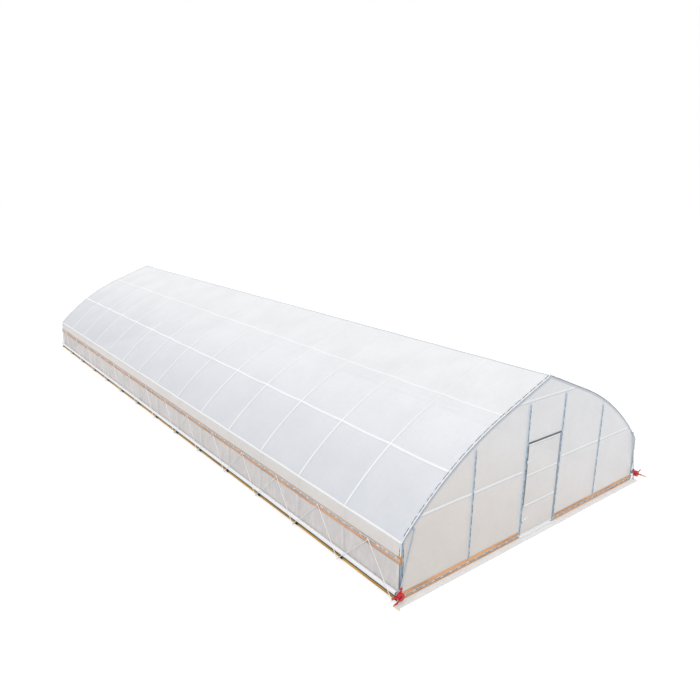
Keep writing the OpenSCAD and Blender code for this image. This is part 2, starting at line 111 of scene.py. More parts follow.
class TunnelSizes(bpy.types.PropertyGroup):
    """Sizes of the tunnel that the dressing follows"""

    half_span: length("Half span", "From the middle to a leg's centre", 3.048)
    front: length("Front hoop", "Place of the front hoop along the tunnel", LEGS[0].y + HOOP_R)
    bay: length("Bay", "Distance between hoops", 1.219)
    bays: IntProperty(name="Bays", description="Number of bays", default=14)
    eave: length("Eave", "Height of the eave bend", 0.87)
    ridge: length("Ridge", "Height of the ridge on the tube's centre line", 2.64)
    pitch: FloatProperty(
        name="Pitch", description="Slope of the straight top", default=math.radians(21.5),
        subtype="ANGLE",
    )
    radius: length("Bow radius", "Radius of the curved part of a bow", 5.33)
    roof_lift: length("Roof film lift", "From the tube's centre line to the film", 0.0271)
    end_lift: length("End film lift", "From the end hoop's plane to the end film", 0.0271)
    film: length("Film", "Thickness of the film sheets", 0.0012)
    sag: length("Sag", "How far the roof film dips between hoops", 0.016)
    wire: length("Lock wire", "Radius of the lock wires", 0.0042)
    wire_pitch: length("Wire pitch", "Length of one wave of a lock wire", 0.19)
    rope: length("Rope", "Radius of the curtain ropes", 0.0046)
    mid_rail: length("Mid rail", "Height of the end walls' mid rail", mid_z(RAILS))
    collar: length("Collar", "Height of the collars under the ridge", mid_z(COLLARS))
    upper_purlin: length("Upper purlin", "From the ridge to an upper purlin", 1.09)
    mid_purlin: length("Mid purlin", "From the ridge to a mid purlin", 2.19)
    door_post: length("Door post", "From the middle to a door post's centre", DOOR_POSTS[1].x - POST_R)
    outer_post: length(
        "Outer post", "From the middle to an outer post's centre", OUTER_POSTS[1].x - POST_R)
    channel_stop: length("Channel stop", "Gap over a post channel's top", 0.06)


class TunnelColours(bpy.types.PropertyGroup):
    """Colours of the tunnel's finishes"""

    roof: colour("Roof film", "Milky film low on the roof", (0.77, 0.79, 0.84))
    # Crown: painted light, the same film painted whiter near the ridge where more sky light falls on it.
    crown: colour("Crown film", "Milky film near the ridge", (0.96, 0.97, 0.99))
    walls: colour("End film", "Milky film of the end walls, low on the left", (0.85, 0.80, 0.76))
    walls_high: colour(
        "High end film", "Milky film of the end walls, high on the right", (0.95, 0.955, 0.98))
    curtain: colour("Curtain film", "Milky film of the side curtains", (0.80, 0.77, 0.76))
    strip: colour("Eave film", "Milky film of the strip under the eave", (0.87, 0.84, 0.82))
    skirt: colour("Ground flap", "Milky film of the flap on the ground", (0.78, 0.78, 0.78))
    # Film on tubes: the film lies on the tube and is painted this near-white as a painted highlight of the
    # lit tube under it.
    contact_highlight: colour("Film on tubes", "Film where it lies on a tube", (0.96, 0.97, 0.98))
    shadow: colour("Tube under film", "Shaded side of a tube seen through the film", (0.56, 0.60, 0.65))
    tube: colour("Post under film", "Post seen through the film", (0.70, 0.76, 0.82))
    roll: colour("Rolled film", "Film wound on the curtain tube", (0.86, 0.87, 0.89))
    steel: colour("Galvanised tube", "Zinc on the tubes", (0.43, 0.50, 0.57))
    channel: colour("Lock channel", "Zinc on the lock channels", (0.60, 0.69, 0.77))
    pale_channel: colour(
        "Film over channel", "Channels with film pressed into them", (0.82, 0.86, 0.90))
    wire: colour("Lock wire", "Coated spring wire", (0.030, 0.036, 0.052))
    timber: colour("Timber", "Planed softwood boards", (0.86, 0.40, 0.11))
    board: colour("Base board", "Stained boards along the sides", (0.80, 0.46, 0.10))
    red: colour("Red paint", "Paint of the winders", (0.56, 0.012, 0.02))
    cream: colour("Grip", "Plastic of the crank grips", (0.72, 0.66, 0.50))
    rope: colour("Rope", "Twisted white rope", (0.97, 0.97, 0.96))
    black: colour("Black plastic", "Clips and ground seals", (0.016, 0.020, 0.030))
    # The door strip's tone is also the painted shadow of the gap on the door's hinge side.
    door_strip: colour("Door strip", "Strip over the door", (0.085, 0.105, 0.135))


# Selecting and finishing


def mode(name):
    bpy.ops.object.mode_set(mode=name)


def deselect():
    if bpy.context.object and bpy.context.object.mode != "OBJECT":
        mode("OBJECT")
    bpy.ops.object.select_all(action="DESELECT")


def activate(obj):
    deselect()
    obj.select_set(True)
    bpy.context.view_layer.objects.active = obj
    return obj


def apply_modifiers(obj):
    activate(obj)
    for modifier in list(obj.modifiers):
        bpy.ops.object.modifier_apply(modifier=modifier.name)


def thicken(obj, thickness, offset):
    solid = obj.modifiers.new("thickness", "SOLIDIFY")
    solid.thickness, solid.offset = thickness, offset
    apply_modifiers(obj)


def round_edges(obj, width, segments):
    bevel = obj.modifiers.new("edges", "BEVEL")
    bevel.width, bevel.segments = width, segments
    apply_modifiers(obj)


def tidy_mesh(obj, angle=math.radians(35)):
    """Merges doubles, turns the faces outwards and smooths all but the sharp edges."""
    activate(obj)
    mode("EDIT")
    bpy.ops.mesh.select_all(action="SELECT")
    bpy.ops.mesh.remove_doubles(threshold=1e-5)
    bpy.ops.mesh.normals_make_consistent(inside=False)
    mode("OBJECT")
    bpy.ops.object.shade_smooth_by_angle(angle=angle)


def finish_piece(obj, name, finish, body="tunnel"):
    """Names a piece, gives it its finish, and lets it ride on its body."""
    obj.name = name
    obj.data.name = name
    obj.data.materials.clear()
    obj.data.materials.append(bpy.data.materials[finish])
    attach(obj, body)
    return obj


def place_mesh(obj):
    """Puts the object's place into its mesh."""
    activate(obj)
    bpy.ops.object.transform_apply(location=True, rotation=True, scale=True)
    return obj


def block(size, centre=(0, 0, 0)):
    deselect()
    bpy.ops.mesh.primitive_cube_add(size=1.0, location=centre)
    bpy.context.object.scale = size
    return place_mesh(bpy.context.object)


def select_faces(obj, wanted):
    """Selects, in edit mode, the faces whose normal passes the test."""
    activate(obj)
    mode("EDIT")
    bpy.ops.mesh.select_mode(type="FACE")
    bpy.ops.mesh.select_all(action="DESELECT")
    mode("OBJECT")
    for face in obj.data.polygons:
        face.select = wanted(face.normal)
    mode("EDIT")


def draw_out(obj, wanted, move, scale, inset=0.0):
    """Extrudes the wanted faces and scales their new end."""
    select_faces(obj, wanted)
    if inset:
        bpy.ops.mesh.inset(thickness=inset)
    bpy.ops.mesh.extrude_region_move(TRANSFORM_OT_translate={"value": move})
    bpy.ops.transform.resize(value=scale)
    mode("OBJECT")


def repeat(model, places, angle=math.radians(35)):
    """Copies a modelled piece to each place, each copy with its own mesh, joins and tidies them."""
    copies = []
    for place in places:
        copy = model.copy()
        copy.data = model.data.copy()
        copy.data.transform(place)
        if place.is_negative:
            copy.data.flip_normals()
        bpy.context.scene.collection.objects.link(copy)
        copies.append(copy)
    bpy.data.objects.remove(model)
    deselect()
    for copy in copies:
        copy.select_set(True)
    bpy.context.view_layer.objects.active = copies[0]
    bpy.ops.object.join()
    joined = bpy.context.view_layer.objects.active
    tidy_mesh(joined, angle)
    return joined


def spread(low, high, count):
    return [low + (high - low) * i / count for i in range(count + 1)]


def sheet(across, along, place, thickness, offset=0.0):
    """A grid laid out by place(u, v) and given the film's thickness."""
    deselect()
    cols, rows = len(across) - 1, len(along) - 1
    bpy.ops.mesh.primitive_grid_add(x_subdivisions=cols, y_subdivisions=rows, size=2.0)
    obj = bpy.context.object
    for vertex in obj.data.vertices:
        i = round((vertex.co.x + 1) / 2 * cols)
        j = round((vertex.co.y + 1) / 2 * rows)
        vertex.co = place(across[i], along[j])
    thicken(obj, thickness, offset)
    tidy_mesh(obj)
    return obj


def tube(paths, radius, sides=0):
    """Round bars along lists of points, as one mesh."""
    deselect()
    curve = bpy.data.curves.new("bars", "CURVE")
    curve.dimensions = "3D"
    curve.bevel_depth = radius
    curve.bevel_resolution = sides
    curve.use_fill_caps = True
    for path in paths:
        spline = curve.splines.new("POLY")
        spline.points.add(len(path) - 1)
        for point, at in zip(spline.points, path):
            point.co = (*at, 1.0)
    obj = bpy.data.objects.new("bars", curve)
    bpy.context.scene.collection.objects.link(obj)
    activate(obj)
    bpy.ops.object.convert(target="MESH")
    obj = bpy.context.object
    tidy_mesh(obj, math.radians(60))
    return obj


# The bow's shape


class Bow:
    """The left bow's centre line moved out by lift: straight top, arc and upright strip."""

    def __init__(self, sizes, lift):
        pitch, radius = sizes.pitch, sizes.radius
        along, inward = (math.cos(pitch), math.sin(pitch)), (math.sin(pitch), -math.cos(pitch))
        ex = -sizes.half_span - radius * inward[0]
        ez = sizes.eave - sizes.ridge - radius * inward[1]
        on = ex * along[0] + ez * along[1]
        straight = -on - math.sqrt(on * on - ex * ex - ez * ez + radius * radius)
        self.lift, self.pitch, self.half = lift, pitch, sizes.half_span
        self.cx = -straight * along[0] + radius * inward[0]
        self.cz = sizes.ridge - straight * along[1] + radius * inward[1]
        self.r = radius + lift
        self.apex = sizes.ridge + lift / math.cos(pitch)
        self.top = straight + lift * math.tan(pitch)
        self.low_slope = math.asin((self.half + lift + self.cx) / self.r)
        self.arc = self.r * (self.low_slope - pitch)
        self.eave = self.cz + self.r * math.cos(self.low_slope)

    def length(self, foot):
        return self.top + self.arc + self.eave - foot

    def slope(self, s):
        if s < self.top:
            return self.pitch
        if s < self.top + self.arc:
            return self.pitch + (s - self.top) / self.r
        return math.pi / 2

    def at(self, s):
        """Point at a distance from the ridge along the film, on the left."""
        if s < self.top:
            return -s * math.cos(self.pitch), self.apex - s * math.sin(self.pitch)
        if s < self.top + self.arc:
            a = self.slope(s)
            return self.cx - self.r * math.sin(a), self.cz + self.r * math.cos(a)
        return -self.half - self.lift, self.eave - (s - self.top - self.arc)

    def height(self, x):
        """Height of the line over a distance from the middle."""
        x = abs(x)
        if x < self.top * math.cos(self.pitch):
            return self.apex - x * math.tan(self.pitch)
        return self.cz + math.sqrt(max(0.0, self.r ** 2 - (x + self.cx) ** 2))


def hoops(sizes):
    return [sizes.front + i * sizes.bay for i in range(sizes.bays + 1)]


def back(sizes):
    return sizes.front + sizes.bays * sizes.bay


def door_rails():
    """Heights of the door frame's rails."""
    low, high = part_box("door_frame")
    return low.z + 0.015, LOW_RAIL, HIGH_RAIL, high.z - 0.015


# Finishes


def add_node(tree, kind, inputs=None, **settings):
    """A shader node with its settings, and its inputs linked or given values."""
    node = tree.nodes.new("ShaderNode" + kind)
    for key, value in settings.items():
        setattr(node, key, value)
    for key, value in (inputs or {}).items():
        if hasattr(value, "links"):
            tree.links.new(value, node.inputs[key])
        else:
            node.inputs[key].default_value = value
    return node.outputs


class Finish:
    """A new material with its shader and short calls for the nodes that feed it."""

    def __init__(self, name, base, roughness=0.5, metallic=0.0):
        material = bpy.data.materials.new(name)
        material.use_nodes = True
        self.tree = material.node_tree
        self.shader = self.tree.nodes["Principled BSDF"]
        self.shader.inputs["Base Color"].default_value = (*base, 1.0)
        self.shader.inputs["Roughness"].default_value = roughness
        self.shader.inputs["Metallic"].default_value = metallic
        self.object = add_node(self.tree, "TexCoord")["Object"]
        self.x, self.y, self.z = add_node(self.tree, "SeparateXYZ", {0: self.object})

    def stretch(self, scale):
        return add_node(self.tree, "Mapping", {"Scale": scale, "Vector": self.object})["Vector"]

    def noise(self, scale, detail=4.0, vector=None, distortion=0.0):
        return add_node(self.tree, "TexNoise", {
            "Scale": scale, "Detail": detail, "Distortion": distortion,
            "Vector": vector or self.object})["Fac"]

    def cells(self, scale):
        cell = add_node(self.tree, "TexVoronoi", {"Scale": scale, "Vector": self.object})
        return add_node(self.tree, "RGBToBW", {0: cell["Color"]})[0]

    def math(self, operation, a, b=0.5):
        return add_node(self.tree, "Math", {0: a, 1: b}, operation=operation)[0]

    def ramp(self, value, low, high, to_low=0.0, to_high=1.0):
        return add_node(self.tree, "MapRange", {
            "Value": value, "From Min": low, "From Max": high, "To Min": to_low, "To Max": to_high,
        }, interpolation_type="SMOOTHSTEP")["Result"]

    def line(self, value, centre, half_width, soft):
        """1 within half_width of the centre, falling to 0 over soft."""
        away = self.math("ABSOLUTE", self.math("SUBTRACT", value, centre))
        return self.ramp(away, half_width, half_width + soft, 1.0, 0.0)

    def rows(self, value, first, pitch, half_width, soft):
        """1 on each line of a row with that pitch."""
        away = self.math("PINGPONG", self.math("SUBTRACT", value, first), pitch / 2)
        return self.ramp(away, half_width, half_width + soft, 1.0, 0.0)

    def most(self, *masks):
        out = masks[0]
        for mask in masks[1:]:
            out = self.math("MAXIMUM", out, mask)
        return out

    def blend(self, fac, low, high):
        low, high = (end if hasattr(end, "links") else (*end, 1.0) for end in (low, high))
        return add_node(self.tree, "Mix", {0: fac, 6: low, 7: high}, data_type="RGBA")[2]

    def toned(self, tint, factor):
        """A colour made darker or lighter by a factor."""
        return add_node(self.tree, "VectorMath", {0: tint, "Scale": factor}, operation="SCALE")[0]

    def feed(self, key, socket):
        self.tree.links.new(socket, self.shader.inputs[key])

    def bump(self, height, strength, distance):
        self.feed("Normal", add_node(self.tree, "Bump", {
            "Strength": strength, "Distance": distance, "Height": height})["Normal"])


def shade(tone, factor):
    return tuple(min(1.0, channel * factor) for channel in tone)


def mottled(finish, fac, tone, low, high):
    return finish.blend(fac, shade(tone, low), shade(tone, high))


def film_finish(name, tint, tones, lines, edges, clear, thin, thick, creases=(1.0, 3.0, 1.0)):
    """Milky film: denser over tubes and painted whiter there, a painted highlight of the lit tube under it;
    greyer at their edges, partly painted shade of the tubes' shaded sides; clearer on a board.
    """
    finish = Finish(name, tones.contact_highlight, roughness=0.38)
    over = finish.most(*lines(finish))
    cloud = finish.noise(1.3, 3.0)
    fold = finish.noise(9.0, 3.0, finish.stretch(creases), 1.2)
    # Cloudy dirt from the cloud noise, and painted shade from the crease noise: darker in the creases'
    # troughs, lighter on their ridges.
    dirt_and_crease_shade = finish.math("MULTIPLY", finish.ramp(cloud, 0.3, 0.7, 0.985, 1.01),
                       finish.ramp(fold, 0.25, 0.75, 0.98, 1.02))
    # Over tubes the film takes the near-white colour: a painted highlight of the lit tubes under it.
    base = finish.blend(over, finish.toned(tint(finish), dirt_and_crease_shade), tones.contact_highlight)
    for mask, tone in edges(finish) if edges else ():
        base = finish.blend(mask, base, tone)
        over = finish.most(over, mask)
    finish.feed("Base Color", base)
    density = finish.math("ADD", finish.ramp(cloud, 0.3, 0.7, thin - 0.012, thin + 0.012),
                          finish.math("MULTIPLY", over, thick - thin))
    if clear is not None:
        density = finish.math("MULTIPLY", density, clear(finish))
    finish.feed("Alpha", density)
    finish.bump(fold, 0.25, 0.004)
    finish.feed("Roughness", finish.ramp(fold, 0.2, 0.8, 0.3, 0.46))
    finish.shader.inputs["Specular IOR Level"].default_value = 0.4


def metal_finish(name, tone, roughness, spangle, low=None):
    """Zinc with faint crystal cells and weathered patches, and another tone low down."""
    finish = Finish(name, tone, roughness, metallic=0.65)
    cell = finish.cells(spangle)
    tint = mottled(finish, cell, tone, 0.86, 1.14)
    patch = finish.ramp(finish.noise(6.0), 0.35, 0.75)
    base = finish.blend(patch, tint, shade(tone, 1.05))
    if low is not None:
        base = finish.blend(finish.ramp(finish.z, 0.1, 0.13), low, base)
    finish.feed("Base Color", base)
    finish.feed("Roughness", finish.ramp(cell, 0.0, 1.0, roughness - 0.08, roughness + 0.08))


def timber_finish(name, tone, grain):
    """Planed softwood with grain along the board and planks of different tone."""
    finish = Finish(name, tone, 0.62)
    vector = finish.stretch(grain)
    rings = finish.noise(1.0, 8.0, vector, 1.4)
    fibre = finish.noise(6.0, 6.0, vector, 0.3)
    planks = finish.noise(0.45, 0.0)
    light = mottled(finish, planks, tone, 0.92, 1.15)
    ringed = finish.blend(finish.ramp(rings, 0.42, 0.62), light, shade(tone, 0.62))
    finish.feed("Base Color", finish.blend(finish.ramp(fibre, 0.55, 0.8), ringed, shade(tone, 0.72)))
    finish.bump(fibre, 0.35, 0.002)
    finish.feed("Roughness", finish.ramp(rings, 0.3, 0.7, 0.55, 0.72))


def speckled_finish(name, tone, roughness, scale, depth, contrast=0.12):
    """A moulded, painted or coated surface with slight mottling."""
    finish = Finish(name, tone, roughness)
    grain = finish.noise(scale, 5.0)
    finish.feed("Base Color", mottled(finish, grain, tone, 1 - contrast, 1 + contrast))
    finish.feed("Roughness", finish.ramp(grain, 0.25, 0.75, roughness - 0.07, roughness + 0.07))
    finish.bump(grain, 0.2, depth)


class TUNNEL_OT_finishes(bpy.types.Operator):
    """Makes the finishes and puts them on the frame's own pieces"""

    bl_idname = "tunnel.finishes"
    bl_label = "Finishes"

    def execute(self, context):
        sizes, tones = context.scene.tunnel_sizes, context.scene.tunnel_colours

        fold = Bow(sizes, sizes.roof_lift).eave
        rails = door_rails()

        def faint(finish, share, mask):
            return finish.math("MULTIPLY", share, mask)

        def roof_lines(finish):
            side = finish.math("ABSOLUTE", finish.x)
            fading = finish.math("MULTIPLY", finish.ramp(finish.z, 1.6, 2.45, 0.85, 0.15),
                                 finish.ramp(finish.z, fold - 0.03, fold, 0.12, 1.0))
            # Whiteness on the hoops, purlins and eave is a painted highlight of the lit tubes under the
            # film, fading towards the ridge; the line at the fold is also a painted highlight on the film's
            # sharp bend.
            return [
                faint(finish, fading, finish.rows(finish.y, sizes.front, sizes.bay, 0.009, 0.012)),
                faint(finish, 0.7, finish.line(side, sizes.upper_purlin, 0.007, 0.012)),
                faint(finish, 0.9, finish.line(side, sizes.mid_purlin, 0.008, 0.012)),
                finish.line(finish.z, fold, 0.008, 0.011),
            ]

        def roof_edges(finish):
            side = finish.math("ABSOLUTE", finish.x)
            return [(faint(finish, 0.75, finish.line(side, 0.0, 0.022, 0.014)), tones.shadow)]

        def wall_lines(finish):
            return [
                finish.line(finish.z, sizes.mid_rail, 0.014, 0.012),
                finish.line(finish.z, sizes.collar, 0.012, 0.012),
            ]

        def bow_edge(finish, side):
            bow = Bow(sizes, 0.0)
            across, up = finish.math("ADD", side, bow.cx), finish.math("SUBTRACT", finish.z, bow.cz)
            reach = finish.math("SQRT", finish.math("ADD", finish.math("POWER", across, 2.0),
                                                    finish.math("POWER", up, 2.0)))
            fall = finish.math("MULTIPLY", side, math.tan(bow.pitch))
            drop = finish.math("SUBTRACT", bow.apex, fall)
            curved = finish.math("GREATER_THAN", side, bow.top * math.cos(bow.pitch))
            straight = finish.math("SUBTRACT", 1.0, curved)
            return finish.most(
                finish.math("MULTIPLY", curved, finish.line(reach, bow.r, 0.018, 0.006)),
                finish.math("MULTIPLY", straight,
                            finish.line(finish.math("SUBTRACT", finish.z, drop), 0.0, 0.019, 0.006)))

        def wall_edges(finish):
            side = finish.math("ABSOLUTE", finish.x)
            below = finish.ramp(finish.z, sizes.collar - 0.04, sizes.collar, 0.85, 0.1)
            rails = [finish.line(finish.z, height - 0.024, 0.004, 0.008)
                     for height in (sizes.mid_rail, sizes.collar)]
            posts = [finish.line(side, sizes.outer_post, 0.03, 0.006),
                     finish.line(side, sizes.door_post + 0.026, 0.042, 0.006)]
            return [
                (faint(finish, 0.7, finish.most(*rails)), tones.shadow),
                (faint(finish, below, finish.most(*posts)), tones.tube),
                (faint(finish, 0.8, bow_edge(finish, side)), tones.shadow),
            ]

        def door_edges(finish):
            lines = [finish.line(finish.z, height - 0.021, 0.004, 0.007) for height in rails[1:]]
            return [(faint(finish, 0.7, finish.most(*lines)), tones.shadow)]

        def curtain_lines(finish):
            return [faint(finish, 0.25, finish.rows(finish.y, sizes.front, sizes.bay, 0.014, 0.02))]

        def door_lines(finish):
            return [finish.line(finish.z, height, 0.013, 0.010) for height in rails]

        def roof_tint(finish):
            # Painted light: the film is painted from the low roof tone to the whiter crown tone as it
            # climbs to the ridge, where more sky light falls; below the fold it takes the strip tone.
            climb = finish.ramp(finish.z, sizes.eave, sizes.ridge)
            slope = finish.blend(climb, tones.roof, tones.crown)
            return finish.blend(finish.ramp(finish.z, fold - 0.03, fold), tones.strip, slope)

        def wall_tint(finish):
            climb = finish.math("ADD", finish.math("MULTIPLY", finish.x, 0.15),
                                finish.math("MULTIPLY", finish.z, 0.35))
            return finish.blend(finish.ramp(climb, -0.2, 0.9), tones.walls, tones.walls_high)

        def curtain_tint(finish):
            # Painted highlight: lighter streaks along the wrinkles stand in for light catching them.
            wrinkle_glint = finish.noise(5.0, 3.0, finish.stretch((1.0, 2.0, 0.7)), 1.6)
            return mottled(finish, finish.ramp(wrinkle_glint, 0.4, 0.75), tones.curtain, 0.97, 1.13)

        def skirt_tint(finish):
            return mottled(finish, finish.noise(3.0, 3.0), tones.skirt, 0.93, 1.07)

        def clear_low(finish):
            top = FRONT_BOARDS[1].z
            return finish.ramp(finish.z, top - 0.003, top + 0.01, 0.1, 1.0)

        def clear_high(finish):
            return finish.ramp(finish.z, HIP_BOARDS[0].z - 0.01, HIP_BOARDS[0].z + 0.005, 1.0, 0.22)

        def clear_lap(finish):
            return finish.ramp(finish.z, HIP_BOARDS[1].z - 0.006, HIP_BOARDS[1].z + 0.012, 0.4, 1.0)

        film_finish("roof film", roof_tint, tones, roof_lines, roof_edges, clear_lap, 0.76, 0.95)
        film_finish("wall film", wall_tint, tones, wall_lines, wall_edges, clear_low, 0.79, 0.93)
        film_finish("curtain film", curtain_tint, tones, curtain_lines, None, clear_high, 0.66, 0.86,
                    (1.0, 6.0, 1.0))
        film_finish("door film", wall_tint, tones, door_lines, door_edges, None, 0.76, 0.92)
        film_finish("skirt film", skirt_tint, tones, curtain_lines, None, None, 0.33, 0.4,
                    (1.2, 3.0, 1.0))
        speckled_finish("rolled film", tones.roll, 0.4, 30.0, 0.002, 0.06)
        metal_finish("galvanised tube", tones.steel, 0.42, 80.0)
        metal_finish("lock channel", tones.channel, 0.40, 120.0, tones.pale_channel)
        metal_finish("covered channel", tones.pale_channel, 0.45, 120.0)
        timber_finish("side timber", tones.board, (30.0, 0.9, 30.0))
        timber_finish("hip timber", tones.timber, (30.0, 0.9, 30.0))
        timber_finish("end timber", tones.timber, (0.9, 30.0, 30.0))
        speckled_finish("lock wire", tones.wire, 0.5, 60.0, 0.0004)
        speckled_finish("red paint", tones.red, 0.34, 45.0, 0.0004)
        speckled_finish("cream plastic", tones.cream, 0.45, 70.0, 0.0004)
        speckled_finish("white rope", tones.rope, 0.85, 220.0, 0.0015)
        speckled_finish("black plastic", tones.black, 0.55, 90.0, 0.0005)
        speckled_finish("door dark strip", tones.door_strip, 0.6, 120.0, 0.0004)
        by_slot = {
            "galvanised_steel": "galvanised tube", "lock_channel": "lock channel",
            "clear_film": "wall film", "rolled_film": "rolled film", "timber": "end timber",
            "red_paint": "red paint", "cream_plastic": "cream plastic", "white_rope": "white rope",
        }
        own = {
            "side_base_boards": "side timber", "hip_boards": "hip timber",
            "door_straps": "covered channel", "hip_channels": "covered channel",
            "hoop_channels": "covered channel",
        }
        for part in frame["record"]["subparts"]:
            node = frame["nodes"][part["node"]]
            node.data.materials.clear()
            node.data.materials.append(
                bpy.data.materials[own.get(part["node"], by_slot[part["material_slot"]])])
        return {"FINISHED"}


# Film


class TUNNEL_OT_roof_sheet(bpy.types.Operator):
    """One film over the hoops from hip board to hip board, dipping a little in each bay"""

    bl_idname = "tunnel.roof_sheet"
    bl_label = "Roof film"

    def execute(self, context):
        sizes = context.scene.tunnel_sizes
        bow = Bow(sizes, sizes.roof_lift)
        foot = HIP_BOARDS[1].z + 0.0015
        reach = bow.length(foot)
        lap = foot - HIP_CHANNELS[1].z - 0.0008
        lean = HIP_BOARDS[1].x + 0.0012 - bow.half - bow.lift
        first, last = sizes.front - sizes.end_lift, back(sizes) + sizes.end_lift
        kinks = [0.0, bow.top, bow.top + bow.arc, reach, reach + lap]
        counts = (10, 28, 6, 2)
        half = [s for a, b, n in zip(kinks, kinks[1:], counts) for s in spread(a, b, n)[:-1]]
        half.append(reach + lap)
        across = [-s for s in reversed(half[1:])] + half
        along = [y for y in hoops(sizes)[:-1] for y in spread(y, y + sizes.bay, 10)[:-1]]
        along = [first, along[0], along[0] + 0.025, *along[1:], last - 0.052, hoops(sizes)[-1], last]
        rng = random.Random(3)
        dips = [rng.uniform(0.75, 1.2) for _ in range(sizes.bays)]

        def place(s, y):
            x, z = bow.at(abs(s))
            slope = bow.slope(abs(s))
            bay = (y - sizes.front) / sizes.bay
            share = bay - math.floor(bay)
            inside = 0 <= bay < sizes.bays
            hang = 4 * share * (1 - share) if inside else 0.0
            eased = math.sin(math.pi * min(1.0, abs(s) / reach) ** 0.9)
            dip = sizes.sag * hang * (0.35 + 0.65 * eased) * (dips[int(bay)] if inside else 0.0)
            strip = (abs(s) - bow.top - bow.arc) / (reach - bow.top - bow.arc)
            if strip > 0:
                dip *= max(0.0, 1 - strip) * 0.5
                on_board = first + 0.05 < y < last - 0.05
                x -= lean * min(1.0, strip) if on_board else 0.0
                z = max(z, foot - lap if on_board else foot)
            x += dip * math.sin(slope)
            z -= dip * math.cos(slope)
            return Vector((-x if s > 0 else x, y, z))

        obj = sheet(across, along, place, sizes.film)
        finish_piece(obj, "roof_sheet", "roof film")
        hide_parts("roof_film_left", "roof_film_right")
        return {"FINISHED"}


class TUNNEL_OT_end_sheets(bpy.types.Operator):
    """Film stretched over the end frames, in panels beside and over the door and whole at the back"""

    bl_idname = "tunnel.end_sheets"
    bl_label = "End films"

    def panel(self, sizes, name, node, low, high, foot, y):
        bow = Bow(sizes, 0.016)
        rng = random.Random(name)
        waves = [(rng.uniform(2.0, 7.0), rng.uniform(1.0, 4.0), rng.uniform(0, 6.3)) for _ in range(5)]
        posts = (sizes.door_post, sizes.outer_post, sizes.half_span)

        def place(x, v):
            z = foot + v * (bow.height(x) - foot)
            near = min(abs(abs(x) - post) for post in posts)
            free = min(1.0, near / 0.25) * math.sin(math.pi * v)
            ripple = sum(math.sin(a * x + b * z + c) for a, b, c in waves) / 5
            return Vector((x, y + math.copysign(0.006, -y) * free * (0.6 + 0.6 * ripple), z))

        obj = sheet(spread(low, high, 36), spread(0, 1, 30), place, sizes.film)
        finish_piece(obj, name, "wall film")
        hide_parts(node)
        tops = [bow.height(x) for x in spread(low, high, 400)]
        area = sum((a + b) / 2 - foot for a, b in zip(tops, tops[1:])) * (high - low) / 400

    def execute(self, context):
        sizes = context.scene.tunnel_sizes
        front, rear = sizes.front - sizes.end_lift, back(sizes) + sizes.end_lift
        for name, node, y in (
            ("front_left_sheet", "front_film_left", front),
            ("front_right_sheet", "front_film_right", front),
            ("front_top_sheet", "front_film_top", front), ("back_sheet", "back_film", rear),
        ):
            low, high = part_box(node)
            self.panel(sizes, name, node, low.x, high.x, low.z + 0.001, y)
        return {"FINISHED"}


class TUNNEL_OT_door_sheet(bpy.types.Operator):
    """Film on the door leaf"""

    bl_idname = "tunnel.door_sheet"
    bl_label = "Door film"

    def execute(self, context):
        sizes = context.scene.tunnel_sizes
        low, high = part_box("door_film")
        rails = door_rails()
        y = (low.y + high.y) / 2

        def place(x, z):
            free = min(min(abs(z - r) for r in rails) / 0.2, min(x - low.x, high.x - x) / 0.15, 1.0)
            return Vector((x, y + 0.004 * free * (0.7 + 0.3 * math.sin(9 * x + 5 * z)), z))

        obj = sheet(spread(low.x, high.x, 24), spread(low.z, high.z, 40), place, sizes.film)
        finish_piece(obj, "door_sheet", "door film", "door")
        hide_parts("door_film")
        return {"FINISHED"}


class TUNNEL_OT_skirt_sheet(bpy.types.Operator):
    """Film flap that lies on the ground along the door end"""

    bl_idname = "tunnel.skirt_sheet"
    bl_label = "Ground flap"

    def execute(self, context):
        sizes = context.scene.tunnel_sizes
        low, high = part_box("front_skirt")

        def place(x, y):
            out = (high.y - y) / (high.y - low.y)
            lift = 0.5 + 0.5 * math.sin(5.3 * x + 1.7 * math.sin(2.1 * x))
            crease = max(0.0, 1 - abs(x + sizes.door_post) / 0.05)
            return Vector((x, y, low.z + 0.001 + out * (0.004 * lift + 0.006 * crease)))

        obj = sheet(spread(low.x, high.x, 160), spread(low.y, high.y, 6), place, sizes.film)
        finish_piece(obj, "skirt_sheet", "skirt film")
        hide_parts("front_skirt")
        return {"FINISHED"}


